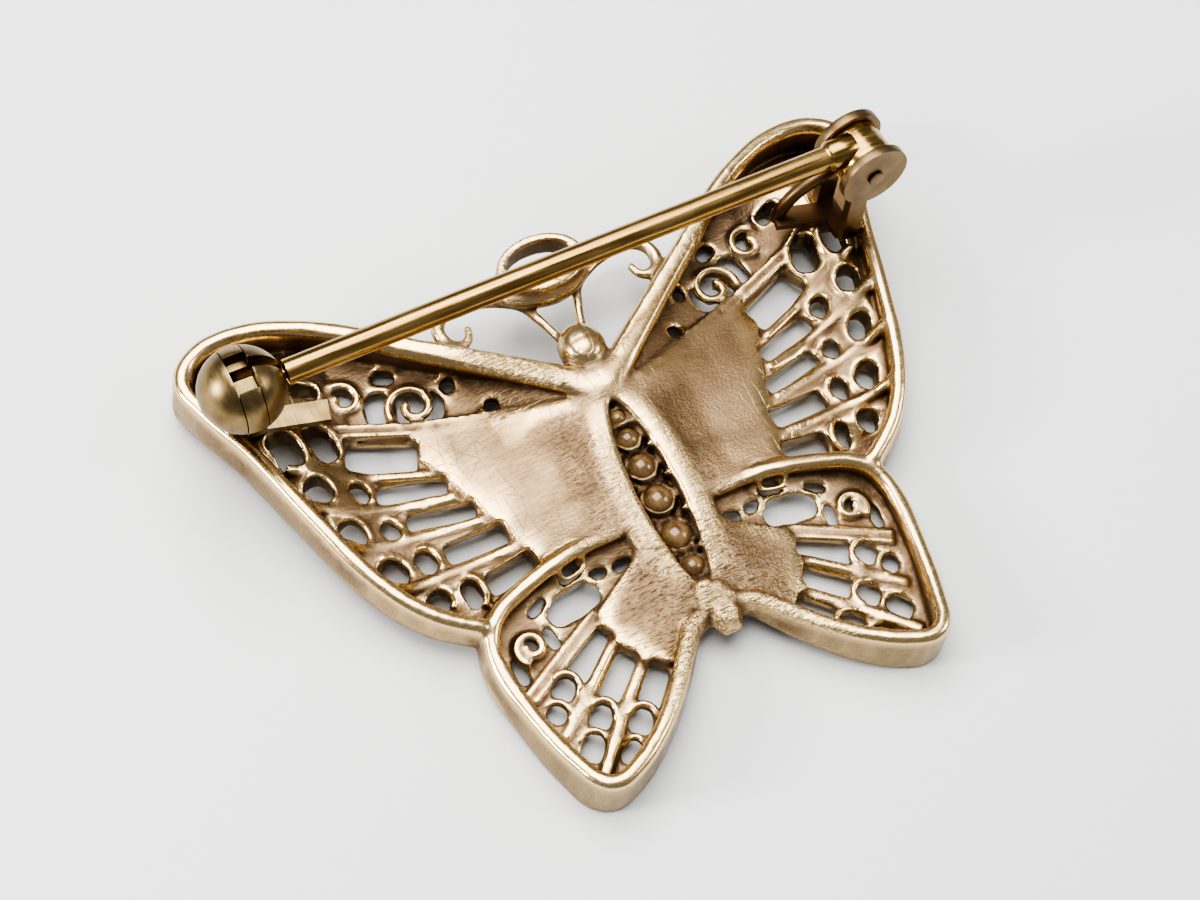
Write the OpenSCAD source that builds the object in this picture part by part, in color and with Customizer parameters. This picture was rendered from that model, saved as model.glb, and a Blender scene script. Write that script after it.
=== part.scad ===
// Butterfly brooch, lying on its front: cast openwork frame, pearls, hinged pin and ball catch.
// X runs along the wingspan, Y towards the head, Z up out of the back. Millimetres.

/* [Wings] */
// Reach of each wing from the middle line to the crest of its rim
wing_reach = 19.9; // [17:0.1:23]
// Rise of the forewing tip above the middle of the body
fore_rise = 16.95; // [15:0.05:19]
// Drop of the hindwing tip below the middle of the body
hind_drop = 12.85; // [11:0.05:15]
// Height of the highest rim crests above the surface that the brooch lies on
rim_height = 3.7; // [3.3:0.05:4.2]
// Width of the rounded crest of the rims
rim_width = 0.9; // [0.7:0.02:1.1]
// Reach of the front flange outside the crest line of the rims
flange_reach = 0.66; // [0.5:0.02:0.8]
// Thickness of the pierced sheet
sheet_thickness = 0.55; // [0.45:0.05:0.6]
// Thickness of the plates that spread from the body
plate_thickness = 1; // [0.8:0.05:1.1]
// Width of the ribs that stand on the sheet
rib_width = 0.62; // [0.5:0.02:0.75]
// Height of the ribs above the sheet
rib_height = 0.24; // [0.15:0.01:0.35]
// Width of the double bars that part the scrolls from the windows
bar_width = 0.9; // [0.7:0.02:1.1]
// Width of the scroll wires and of the small arches
scroll_width = 0.36; // [0.3:0.01:0.44]

/* [Body] */
// Length of the slot that holds the pearls
slot_length = 11.2; // [10:0.1:12]
// Width of the slot at its middle
slot_width = 2.25; // [2:0.05:2.5]
// Height of the body at its middle
body_height = 2.72; // [2.5:0.02:3]
// Rise of the body towards the head, in degrees
body_rise = 6.8; // [4:0.1:9]
// Width of the polished band round the slot
band_width = 1.5; // [1.2:0.05:1.8]
// Depth of the pearls under the band
pearl_depth = 0.34; // [0.2:0.02:0.45]
// Gap between a pearl and the wall of the slot
pearl_gap = 0.05; // [0.03:0.01:0.08]
// Diameter of the head
head_d = 2.55; // [2.2:0.05:2.8]
// Thickness of the antennae
antenna_d = 0.52; // [0.4:0.02:0.6]
// Length of the oval hoop that is soldered across the antennae
hoop_length = 5; // [4.6:0.1:5.6]
// Height of the hoop
hoop_height = 1.5; // [1.1:0.05:1.8]
// Thickness of the hoop's wall
hoop_wall = 0.62; // [0.5:0.02:0.8]

/* [Pin] */
// Distance of the pin's pivot inside the crest of the rim, along the wingspan
pivot_inset = 2.5; // [2.2:0.1:3.2]
// Distance of the centre of the catch ball inside the crest of the rim
catch_inset = 1.9; // [1.6:0.1:2.6]
// Distance of the pin below the forewing tips, towards the tail
pin_drop = 5.65; // [5:0.05:6.2]
// Height of the pin over the surface that the brooch lies on
pin_height = 8.1; // [7.9:0.05:8.8]
// Rise of the stem over the pivot where it leaves the knuckle
stem_rise = 0.85; // [0.6:0.05:0.9]
// Diameter of the pin stem
stem_d = 1.3; // [1.1:0.02:1.4]
// Diameter of the point where it lies in the catch
point_d = 0.5; // [0.44:0.02:0.56]
// Diameter of the knuckle on the pin
knuckle_d = 3.2; // [2.8:0.05:3.4]
// Width of the knuckle
knuckle_width = 2.1; // [1.9:0.02:2.3]
// Lean of the hinge towards the head, in degrees
hinge_lean = 5; // [2:0.5:8]
// Diameter of the round ears of the hinge
ear_d = 3.9; // [3.5:0.05:4.2]
// Thickness of the ears
ear_thickness = 0.5; // [0.4:0.05:0.6]
// Diameter of the hinge rivet
rivet_d = 0.6; // [0.5:0.02:0.7]
// Thickness of the rod that steadies the hinge
rod_d = 0.76; // [0.6:0.02:0.9]
// Running gap between the moving pieces
running_gap = 0.04; // [0.03:0.005:0.06]

/* [Catch] */
// Diameter of the catch ball
ball_d = 4.4; // [4:0.05:4.7]
// Width of the rotor in the ball
rotor_width = 1.04; // [0.9:0.02:1.2]
// Diameter of the two hubs of the rotor
hub_d = 2; // [1.8:0.05:2.2]
// Length of each hub
hub_length = 0.5; // [0.4:0.02:0.6]
// Thickness of the base strips of the findings
strip_thickness = 0.4; // [0.3:0.05:0.5]

/* [Hidden] */

// Rim crest of a forewing: shares of wing_reach and fore_rise, then crest and foot as shares of rim_height
fore_rim = [
    [0.000, 0.400, 1.00, 0.45],
    [0.400, 0.736, 0.98, 0.05],
    [0.653, 0.935, 1.00, 0.00],
    [0.844, 1.000, 1.00, 0.06],
    [0.955, 0.968, 1.00, 0.14],
    [1.000, 0.897, 1.00, 0.22],
    [0.980, 0.790, 1.00, 0.30],
    [0.915, 0.602, 1.00, 0.36],
    [0.850, 0.350, 0.99, 0.38],
    [0.769, 0.077, 0.93, 0.36],
    [0.678, -0.080, 0.84, 0.32],
    [0.570, -0.172, 0.74, 0.28]];
// Rim crest of a hindwing: shares of wing_reach and hind_drop, then crest and foot as shares of rim_height
hind_rim = [
    [0.140, -0.072, 0.72, 0.40],
    [0.276, -0.078, 0.75, 0.36],
    [0.442, -0.140, 0.73, 0.28],
    [0.543, -0.218, 0.71, 0.20],
    [0.581, -0.350, 0.65, 0.14],
    [0.560, -0.640, 0.67, 0.06],
    [0.520, -0.872, 0.78, 0.00],
    [0.492, -0.968, 0.85, 0.00],
    [0.457, -1.000, 0.86, 0.00],
    [0.405, -0.982, 0.85, 0.00],
    [0.312, -0.900, 0.81, 0.06],
    [0.211, -0.763, 0.76, 0.16],
    [0.095, -0.553, 0.66, 0.28],
    [0.000, -0.500, 0.56, 0.30]];
// Long windows beside the plate of a forewing: place, length and width as shares, and turn in degrees
fore_windows = [
    [0.598, 0.487, 0.186, 0.084, 23.7],
    [0.565, 0.348, 0.184, 0.052, 15.6],
    [0.528, 0.230, 0.180, 0.048, 12.7],
    [0.482, 0.100, 0.168, 0.062, 1.5],
    [0.437, -0.030, 0.136, 0.058, -7]];
// Small cells outside the windows, each with an arch on its inner side
fore_cells = [
    [0.729, 0.584, 0.068, 0.112, -10],
    [0.824, 0.590, 0.070, 0.120, -10],
    [0.694, 0.398, 0.045, 0.062, -15],
    [0.793, 0.430, 0.062, 0.080, -20],
    [0.663, 0.248, 0.045, 0.062, -15],
    [0.758, 0.271, 0.058, 0.078, -20],
    [0.618, 0.108, 0.050, 0.072, -15],
    [0.706, 0.112, 0.062, 0.084, -25],
    [0.550, -0.041, 0.046, 0.074, -10],
    [0.638, -0.027, 0.062, 0.060, -35]];
// Openings between the scrolls under the leading rim
fore_scroll_holes = [
    [0.279, 0.488, 0.045, 0.060, 10],
    [0.352, 0.627, 0.042, 0.042, 0],
    [0.495, 0.745, 0.064, 0.042, 25],
    [0.452, 0.596, 0.146, 0.112, 16],
    [0.542, 0.652, 0.074, 0.104, 14],
    [0.620, 0.720, 0.078, 0.078, 0],
    [0.708, 0.780, 0.074, 0.048, 20]];
hind_windows = [
    [0.349, -0.462, 0.152, 0.060, -32],
    [0.309, -0.590, 0.136, 0.056, -40],
    [0.244, -0.694, 0.128, 0.058, -46]];
hind_cells = [
    [0.446, -0.546, 0.066, 0.058, -32],
    [0.492, -0.626, 0.050, 0.052, -32],
    [0.394, -0.706, 0.070, 0.056, -42],
    [0.450, -0.806, 0.076, 0.060, -52],
    [0.309, -0.790, 0.072, 0.060, -44],
    [0.369, -0.884, 0.070, 0.042, -38]];
hind_scroll_holes = [
    [0.164, -0.182, 0.060, 0.034, -5],
    [0.232, -0.172, 0.056, 0.034, 0],
    [0.298, -0.130, 0.066, 0.034, -15],
    [0.322, -0.244, 0.156, 0.080, -10],
    [0.414, -0.200, 0.064, 0.034, -25],
    [0.416, -0.338, 0.036, 0.068, -10],
    [0.474, -0.345, 0.060, 0.060, 0],
    [0.526, -0.412, 0.036, 0.080, 0]];
// Ribs: the two ends as shares of wing_reach and of the rise or drop, and the width as a share of rib_width
fore_ribs = [
    [0.518, 0.378, 0.848, 0.528, 1.0],
    [0.470, 0.270, 0.836, 0.374, 1.1],
    [0.442, 0.165, 0.806, 0.222, 1.0],
    [0.392, 0.036, 0.745, 0.040, 1.0]];
hind_ribs = [
    [0.288, -0.468, 0.505, -0.732, 1.1],
    [0.244, -0.592, 0.340, -0.730, 1.2],
    [0.340, -0.730, 0.468, -0.940, 1.3]];
// Double bars that part the scrolls from the windows: the two ends as shares
fore_bar = [0.085, 0.362, 0.700, 0.621];
hind_bar = [0.272, -0.318, 0.538, -0.534];

// Spirals: centre as shares, outer and inner radius as shares of wing_reach, start in degrees and turns
fore_spirals = [
    [0.620, 0.722, 0.062, 0.016, -60, 1.35],
    [0.460, 0.610, 0.078, 0.014, -75, 1.4]];
hind_spirals = [[0.474, -0.345, 0.046, 0.012, -60, 1.3]];

// Pearls from the tail to the head: place as a share of half the slot, size as a share of the room there
pearls = [[-0.715, 0.96], [-0.382, 0.94], [-0.010, 0.81], [0.334, 0.81], [0.625, 0.84], [0.841, 0.93]];
// Cusps of the setting between the pearls, as shares of half the slot
cusps = [-0.575, -0.200, 0.163, 0.480, 0.748];
cusp_reach = 0.5;
cusp_root = 0.5;
cusp_height = 1.2;

// Antenna from the head to its curl, as places in millimetres from the middle of the head
antenna_points = [[0.6, 1.0], [1.6, 3.6], [2.65, 4.45], [3.9, 4.95], [5.2, 5.1], [6.15, 4.7],
                  [6.45, 3.7], [5.9, 2.95], [5.15, 3.1], [4.9, 3.8]];

round_sides = 48;
bead_sides = 64;
slot_half = slot_length / 2;
head_y = slot_half + 3.35;
head_z = 3.1;
antenna_z = 2.7;
hoop_y = head_y + 5.1;

// Outline of the smooth plates of one side: forewing from the neck, the scroll recess, then hindwing
fore_plate = [
    [0.040, 0.396], [0.074, 0.369], [0.505, 0.530], [0.513, 0.428], [0.476, 0.340], [0.444, 0.240],
    [0.408, 0.120], [0.374, 0.000], [0.374, -0.076], [0.270, -0.062], [0.180, -0.052], [0.125, -0.072]];
hind_plate = [
    [0.110, -0.163], [0.160, -0.214], [0.284, -0.322], [0.288, -0.380], [0.276, -0.476], [0.246, -0.540],
    [0.242, -0.590], [0.208, -0.630], [0.150, -0.650], [0.060, -0.520]];

// Grid of the pierced sheet, as shares of wing_reach, hind_drop and fore_rise
sheet_across = [-0.01, 0.13, 0.30, 0.46, 0.63, 0.80, 1.02];
sheet_drop = [1.06, 0.78, 0.52, 0.30, 0.14];
sheet_rise = [-0.01, 0.17, 0.38, 0.60, 0.80, 1.04];
sheet_under_across = [-0.01, 0.30, 0.46, 0.63, 1.02];
sheet_under_drop = [1.06, 0.52, 0.14];
sheet_under_rise = [0.17, 0.60, 1.04];
plate_columns = 5;
plate_rows = 7;

// Levels of the sheet and the plates
seat_level = 2.8;
hind_lattice = 0.92;
fore_lattice = 1.87;
margin_slope = 0.15;
plate_fall = 0.125;
plate_step = 0.3;
scroll_step = 0.35;
tip_x = 0.86 * wing_reach;
tip_y = 0.78 * fore_rise;
tip_radius = 2.9;
tip_blend = 2.2;
edge_blend = 3.5;
neck_extra = 0.5;
neck_spread = 14;

pivot_reach = wing_reach - pivot_inset;
catch_reach = wing_reach - catch_inset;
pin_rise = fore_rise - pin_drop;
knuckle_shift = 0.13;
stem_shift = 0.2;
stem_flare = 0.2;
seat_gap = 0.12;
slot_gap = 0.05;
wire_height = 1.3 * rib_height;
groove = point_d + 0.12;
notch = 2;
notch_lead = 0.7;
top_y = fore_rise + flange_reach;
low_y = hind_drop + flange_reach;
origin_shift = (low_y - top_y) / 2;

// Smooth step from 0 to 1
function smooth(t) = let (c = max(0, min(1, t))) c * c * (3 - 2 * c);
function mix(a, b, t) = a + (b - a) * t;

// Point between b and c on a smooth curve through a, b, c and d
function blend_point(a, b, c, d, t) =
    0.5 * (2 * b + (c - a) * t + (2 * a - 5 * b + 4 * c - d) * t * t + (3 * b - a - 3 * c + d) * t * t * t);

// Smooth open curve through rows of numbers
function curve(rows, steps) = let (last = len(rows) - 1) concat(
    [for (i = [0:last - 1], k = [0:steps - 1])
        blend_point(rows[max(0, i - 1)], rows[i], rows[i + 1], rows[min(last, i + 2)], k / steps)],
    [rows[last]]);

function rim_rows(rows, along, steps) = let (
    knots = [for (r = rows) [r[0] * wing_reach, r[1] * along, r[2] * rim_height, r[3] * rim_height]],
    path = curve(knots, steps))
    [for (p = path) [p[0], p[1], min(rim_height, p[2]), max(0, p[3])]];
fore_path = rim_rows(fore_rim, fore_rise, 2);
hind_path = rim_rows(hind_rim, hind_drop, 2);

// Places halfway between the points of a path
function midway(points) = [for (i = [1:len(points) - 1])
    let (p = (points[i - 1] + points[i]) / 2) [p[0], p[1]]];

// Level of the body at a distance along it
function body_level(y) = body_height + y * tan(body_rise);

// Distance from a place to the outer margin of the forewing
outer_margin = [for (i = [6:len(fore_rim) - 2]) [fore_rim[i][0] * wing_reach, fore_rim[i][1] * fore_rise]];
function margin_distance(x, y) = min([for (q = outer_margin) norm([x, y] - q)]);

// Level of the plates: they fall away from the body, and rise to the ridge between the two wings
function fore_plate_level(x, y) =
    body_height + 0.05 - plate_fall * x + y * tan(body_rise) * (1 - smooth((x - 1) / 7))
    + 0.5 * smooth((2 - y) / 3) * smooth((x - 1) / 4);
function hind_plate_level(x, y) =
    mix(body_level(y) - 0.05, 1.3, pow(smooth((x - 0.6) / 6.4), 1.3)) + 0.35 * smooth((-y - 5.5) / 2.5);
function plate_level(x, y) = mix(fore_plate_level(x, y), hind_plate_level(x, y), smooth((-y - 0.9) / 1.6));

// Level of the pierced sheet: under the plates, deeper beneath the scrolls,
// higher at the outer margin and at the tip
function fore_sheet(x, y) =
    fore_plate_level(x, y) - plate_step - scroll_step * smooth((y - 5.4 - 0.36 * x) / 1.5);
function fore_outer(y) = min(seat_level + 0.2, fore_lattice + margin_slope * y);
function fore_level(x, y) = let (
    edged = mix(fore_outer(y), fore_sheet(x, y), smooth((margin_distance(x, y) - 1) / edge_blend)),
    tip = norm([x - tip_x, y - tip_y]))
    mix(seat_level, edged, smooth((tip - tip_radius) / tip_blend));
function hind_level(x, y) =
    mix(body_level(y) - 0.6, hind_lattice, smooth((x - 1.2) / 3.6)) + 0.3 * smooth((-y - 9) / 3);
function sheet_level(x, y) = mix(fore_level(x, y), hind_level(x, y), smooth((-y - 0.6) / 1.8));

// Closed or capped skin over rings of points that all have the same number of corners
module skin(rings, closed = false) {
    sides = len(rings[0]);
    last = len(rings) - 1;
    walls = [for (i = [0:closed ? last : last - 1], k = [0:sides - 1]) let (
        j = (i + 1) % (last + 1),
        m = (k + 1) % sides)
        [i * sides + k, i * sides + m, j * sides + m, j * sides + k]];
    caps = closed ? [] : [[for (k = [sides - 1:-1:0]) k], [for (k = [0:sides - 1]) last * sides + k]];
    polyhedron([for (ring = rings, p = ring) p], concat(walls, caps), convexity = 8);
}

// Solid along rows of [x, y, ...]: sections[i] holds [across, height] corners, across to the left
module sweep(points, sections) {
    last = len(points) - 1;
    skin([for (i = [0:last]) let (
        before = points[max(0, i - 1)],
        after = points[min(last, i + 1)],
        along = [after[0] - before[0], after[1] - before[1]],
        side = [-along[1], along[0]] / norm(along))
        [for (s = sections[i]) [points[i][0] + side[0] * s[0], points[i][1] + side[1] * s[0], s[1]]]]);
}

// Corners of a rim: rounded crest, groove and front flange outside, wall inside
function rim_section(top, foot, extra) = let (h = rim_width / 2) [
    [-h - extra, top - 0.32],
    [-0.5 * h - extra, top],
    [0.5 * h, top],
    [h, top - 0.36],
    [flange_reach, foot + 0.5],
    [flange_reach, foot],
    [-0.3 * h, foot]];

// The rims grow broader towards the head
module rim(path) {
    sweep(path, [for (p = path) rim_section(p[2], p[3],
        neck_extra * smooth(1 - p[0] / neck_spread) * smooth(p[1] / head_y))]);
}

// Rib with a flat top that follows the sheet along its plan
function rib_section(level, width, height) = [
    [-width / 2, level - 0.6 * sheet_thickness],
    [-width / 3, level + height],
    [width / 3, level + height],
    [width / 2, level - 0.6 * sheet_thickness]];

module rib(points, width) {
    sweep(points, [for (p = points) rib_section(sheet_level(p[0], p[1]), width, rib_height)]);
}

// Points of a straight line in the plan of one wing, from ends that are shares
function straight(ends, along, steps) = [for (k = [0:steps]) [
    mix(ends[0], ends[2], k / steps) * wing_reach,
    mix(ends[1], ends[3], k / steps) * along]];

module ribs(rows, along) {
    for (r = rows)
        rib(straight(r, along, 2), r[4] * rib_width);
}

// Bar with a groove along its middle
function bar_section(level) = [
    [-0.5 * bar_width, level - 0.6 * sheet_thickness],
    [-0.45 * bar_width, level + rib_height],
    [-0.22 * bar_width, level + rib_height],
    [0, level + 0.3 * rib_height],
    [0.22 * bar_width, level + rib_height],
    [0.45 * bar_width, level + rib_height],
    [0.5 * bar_width, level - 0.6 * sheet_thickness]];

module double_bar(ends, along) {
    points = straight(ends, along, 3);
    sweep(points, [for (p = points) bar_section(sheet_level(p[0], p[1]))]);
}

// Arch on the inner side of every other cell, next to the windows
module arches(rows, along) {
    for (i = [0:2:len(rows) - 1]) {
        r = rows[i];
        half_length = (r[2] * wing_reach + scroll_width) / 2;
        half_width = (r[3] * wing_reach + scroll_width) / 2;
        rib([for (a = [100:53:259]) let (px = half_length * cos(a), py = half_width * sin(a)) [
                r[0] * wing_reach + px * cos(r[4]) - py * sin(r[4]),
                r[1] * along + px * sin(r[4]) + py * cos(r[4])]],
            scroll_width);
    }
}

// Flat spiral wire, level from turn to turn
module spirals(rows, along) {
    for (r = rows) {
        steps = ceil(r[5] * 7);
        level = sheet_level(r[0] * wing_reach, r[1] * along);
        points = [for (k = [0:steps]) let (
            radius = wing_reach * mix(r[2], r[3], k / steps),
            turn = r[4] + 360 * r[5] * k / steps)
            [r[0] * wing_reach + radius * cos(turn), r[1] * along + radius * sin(turn)]];
        sweep(points, [for (p = points) rib_section(level, scroll_width, wire_height)]);
    }
}

// Openings of one table, as oblongs with cut corners, grown by a margin
module openings(rows, along, corner, grow = 0) {
    for (r = rows) {
        radius = min(corner, 0.49 * min(r[2], r[3]) * wing_reach);
        translate([r[0] * wing_reach, r[1] * along])
            rotate(r[4])
                offset(delta = radius + grow, chamfer = true)
                    square([r[2] * wing_reach - 2 * radius, r[3] * wing_reach - 2 * radius], center = true);
    }
}

// Half width of the boat-shaped slot, and a point of its outline, both grown by a margin
function slot_at(y, grow) = let (t = min(1, abs(y) / (slot_half + grow)))
    (slot_width / 2 + grow) * pow(1 - t * t, 0.6);
function boat_point(a, grow) = [
    (slot_width / 2 + grow) * cos(a) * pow(abs(cos(a)), 0.2),
    (slot_half + grow) * sin(a)];

// Plan inside one rim, closed past the middle line
module wing_area(path) {
    polygon(concat(midway(path), [[-0.1, path[len(path) - 1][1]], [-0.1, path[0][1]]]));
}

module wing_outline() {
    difference() {
        union() {
            wing_area(fore_path);
            wing_area(hind_path);
        }
        openings(fore_windows, fore_rise, 0.25);
        openings(fore_cells, fore_rise, 0.45);
        openings(fore_scroll_holes, fore_rise, 1.2);
        openings(hind_windows, hind_drop, 0.3);
        openings(hind_cells, hind_drop, 0.45);
        openings(hind_scroll_holes, hind_drop, 0.75);
        polygon([for (a = [0:30:330]) boat_point(a, 0.5)]);
    }
}

// Faces of a grid, seen from above
function grid_cells(wide, deep, first) = [for (j = [0:deep - 2], i = [0:wide - 2])
    let (a = first + j * wide + i) [a + wide, a + wide + 1, a + 1, a]];
function reversed(row) = [for (k = [len(row) - 1:-1:0]) row[k]];
function grid_sides(wide, deep, first) = [
    [for (i = [0:wide - 1]) first + i],
    [for (j = [0:deep - 1]) first + j * wide + wide - 1],
    [for (i = [wide - 1:-1:0]) first + (deep - 1) * wide + i],
    [for (j = [deep - 1:-1:0]) first + j * wide]];

// Solid between two grids of points over the same rectangle
module layer(top, under) {
    total = len(top) * len(top[0]);
    above = grid_sides(len(top[0]), len(top), 0);
    below = grid_sides(len(under[0]), len(under), total);
    polyhedron([for (grid = [top, under], row = grid, p = row) p], concat(
        grid_cells(len(top[0]), len(top), 0),
        [for (c = grid_cells(len(under[0]), len(under), total)) reversed(c)],
        [for (k = [0:3]) concat(above[k], reversed(below[k]))]),
        convexity = 8);
}

module pierced_sheet() {
    ys = concat(-sheet_drop * hind_drop, sheet_rise * fore_rise);
    low_ys = concat(-sheet_under_drop * hind_drop, sheet_under_rise * fore_rise);
    intersection() {
        linear_extrude(2 * rim_height, convexity = 10) wing_outline();
        layer(
            [for (y = ys) [for (x = sheet_across * wing_reach) [x, y, sheet_level(abs(x), y)]]],
            [for (y = low_ys) [for (x = sheet_under_across * wing_reach)
                [x, y, sheet_level(abs(x), y) - sheet_thickness]]]);
    }
}

// Smooth plates of the forewing and the hindwing, with the windows' rounded ends cut into their edge
module plates() {
    outline = concat(
        [[-0.1, fore_plate[0][1] * fore_rise]],
        [for (p = fore_plate) [p[0] * wing_reach, p[1] * fore_rise]],
        [for (p = hind_plate) [p[0] * wing_reach, p[1] * hind_drop]],
        [[-0.1, hind_rim[len(hind_rim) - 1][1] * hind_drop]]);
    xs = [for (i = [0:plate_columns]) mix(-0.2, 0.53 * wing_reach, i / plate_columns)];
    ys = [for (j = [0:plate_rows]) mix(-0.67 * hind_drop, 0.55 * fore_rise, j / plate_rows)];
    intersection() {
        linear_extrude(2 * rim_height, convexity = 10)
            difference() {
                polygon(outline);
                openings(fore_windows, fore_rise, 0.25, 0.06);
                openings(hind_windows, hind_drop, 0.3, 0.06);
                polygon([for (a = [0:30:330]) boat_point(a, 0.5)]);
            }
        layer(
            [for (y = ys) [for (x = xs) [x, y, plate_level(abs(x), y)]]],
            [for (y = [ys[0], 0, ys[plate_rows]]) [for (x = [xs[0], xs[plate_columns]])
                [x, y, plate_level(abs(x), y) - plate_thickness]]]);
    }
}

// Antenna: stem from the head, then a curl
module antenna() {
    path = curve([for (p = antenna_points) [p[0], head_y + p[1]]], 2);
    sweep(path, [for (p = path) [for (a = [126:-72:-162])
        [0.5 * antenna_d * cos(a), antenna_z + 0.5 * antenna_d * sin(a)]]]);
}

module half_wings() {
    pierced_sheet();
    plates();
    rim(fore_path);
    rim(hind_path);
    ribs(fore_ribs, fore_rise);
    ribs(hind_ribs, hind_drop);
    double_bar(fore_bar, fore_rise);
    double_bar(hind_bar, hind_drop);
    arches(fore_cells, fore_rise);
    arches(hind_cells, hind_drop);
    spirals(fore_spirals, fore_rise);
    spirals(hind_spirals, hind_drop);
    antenna();
}

// Polished band round the slot, and its wall: corners as margin from the slot and drop from the body level
band_corners = [
    [band_width, 1.0],
    [band_width, 0.1],
    [band_width - 0.4, 0],
    [0.14, 0],
    [0, 0.12],
    [0, 1.9]];
module slot_band() {
    skin([for (a = [0:15:345]) [for (c = band_corners) let (p = boat_point(a, c[0]))
        [p[0], p[1], body_level(p[1]) - c[1]]]], closed = true);
}

// Pointed cusps of the slot's wall between the pearls
module slot_cusps() {
    for (c = cusps, s = [-1, 1]) {
        y = c * slot_half;
        wall = slot_at(y, 0) + 0.1;
        translate([0, 0, body_level(y) - 0.3 - cusp_height])
            linear_extrude(cusp_height)
                polygon([
                    [s * wall, y - cusp_root / 2],
                    [s * wall, y + cusp_root / 2],
                    [s * (wall - cusp_reach), y]]);
    }
}

module ball_at(x, y, z, d, sides = 8) {
    translate([x, y, z]) sphere(d = d, $fn = sides);
}

module head() {
    translate([0, head_y, head_z]) scale([1, 1.12, 0.9]) sphere(d = head_d, $fn = 12);
    hull() {
        ball_at(0, head_y - 0.5, head_z - 0.3, 0.72 * head_d);
        ball_at(0, slot_half + 1, head_z - 0.35, 0.8 * head_d);
    }
}

// Rough stub of the tail: knots as place across, place along, lift and diameter
tail_knots = [[-0.45, 0.6, 0, 1.9], [0.5, 0.9, 0.05, 1.8], [0.1, 1.75, 0.1, 2]];
module tail() {
    level = body_level(-slot_half) - 0.45;
    for (k = tail_knots)
        hull() {
            ball_at(0.6 * k[0], -slot_half - k[1] + 0.6, level, k[3], 6);
            ball_at(k[0], -slot_half - k[1], level + k[2], k[3], 6);
        }
}

// Solder where the antennae spring from the head
module antenna_roots() {
    for (s = [-1, 1], k = [0:1])
        hull() {
            ball_at(s * (0.35 + 0.35 * k), head_y + 1.05, antenna_z, antenna_d, 5);
            ball_at(s * (0.2 + 0.2 * k), head_y + 0.4, antenna_z, antenna_d, 5);
        }
}

// Flat oval hoop soldered across the antennae: depth of its outside and inside as shares of their length
hoop_depth_share = 0.7;
hoop_room_share = 0.51;
hoop_room_shift = 0.3;
module hoop() {
    inner = hoop_length - 2 * hoop_wall;
    translate([0, hoop_y, antenna_z + 0.1])
        linear_extrude(hoop_height)
            difference() {
                scale([1, hoop_depth_share]) circle(d = hoop_length, $fn = 20);
                translate([0, hoop_room_shift]) scale([1, hoop_room_share]) circle(d = inner, $fn = 20);
            }
}

module wing_frame() {
    color([0.80, 0.66, 0.50])
        translate([0, origin_shift, 0])
            union() {
                half_wings();
                mirror([1, 0, 0]) half_wings();
                slot_band();
                slot_cusps();
                head();
                tail();
                antenna_roots();
                hoop();
            }
}

module pearl(i) {
    y = pearls[i][0] * slot_half;
    d = 2 * (slot_at(y, 0) - pearl_gap) * pearls[i][1];
    color([0.66, 0.60, 0.52])
        translate([0, origin_shift + y, body_level(y) - pearl_depth - d / 2])
            sphere(d = d, $fn = bead_sides);
}

module at_pivot() {
    translate([pivot_reach, origin_shift + pin_rise - knuckle_shift, pin_height])
        rotate([-hinge_lean, 0, 0]) children();
}

// Bore for the rivet, through everything
module rivet_bore() {
    at_pivot()
        rotate([90, 0, 0])
            cylinder(d = rivet_d + 2 * running_gap, h = 2 * ball_d, center = true, $fn = round_sides);
}

foot_level = seat_level + seat_gap;
ear_offset = knuckle_width / 2 + running_gap;
ear_reach = ear_offset + ear_thickness;
neck_width = 1.1;
neck_shift = -0.65;
strip_width = 1.2;
strip_turn = 14;
strip_reach = 3.3;

// Outline of an ear and its neck, seen along the rivet
module ear_outline() {
    circle(d = ear_d, $fn = round_sides);
    translate([neck_shift - neck_width / 2, foot_level - pin_height + 0.2])
        square([neck_width, pin_height - foot_level]);
}

// Base strip that runs inwards from under a finding
module base_strip(reach) {
    translate([-reach, -strip_width / 2, 0]) cube([reach, strip_width, strip_thickness]);
}

module hinge_bracket() {
    rod_radius = pin_height - foot_level - knuckle_d / 2 - 0.25 - rod_d / 2;
    base_x = pivot_reach + neck_shift;
    base_y = origin_shift + pin_rise - knuckle_shift;
    color([0.72, 0.58, 0.40])
        difference() {
            union() {
                at_pivot()
                    for (s = [-1, 1])
                        translate([0, s * (ear_offset + ear_thickness / 2) + ear_thickness / 2, 0])
                            rotate([90, 0, 0])
                                linear_extrude(ear_thickness) ear_outline();
                translate([base_x - neck_width / 2, base_y - ear_reach, foot_level])
                    cube([neck_width, 2 * ear_reach, strip_thickness]);
                translate([base_x, base_y, foot_level]) rotate(-strip_turn) base_strip(strip_reach);
                translate([base_x, base_y + ear_offset - 0.25 * rod_d, foot_level])
                    rotate([90, 0, 0])
                        rotate([0, 0, 90])
                            rotate_extrude(angle = 90, $fn = round_sides)
                                translate([rod_radius, 0]) circle(d = rod_d, $fn = round_sides);
            }
            rivet_bore();
            translate([0, 0, foot_level - rim_height])
                cube([3 * wing_reach, 3 * wing_reach, 2 * rim_height], center = true);
        }
}

module hinge_rivet() {
    half = ear_reach + running_gap;
    color([0.70, 0.56, 0.38])
        at_pivot()
            rotate([90, 0, 0]) {
                cylinder(d = rivet_d, h = 2 * half, center = true, $fn = round_sides);
                for (s = [-1, 1])
                    translate([0, 0, s * (half + 0.07)])
                        cylinder(d = rivet_d + 0.3, h = 0.14, center = true, $fn = round_sides);
            }
}

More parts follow.
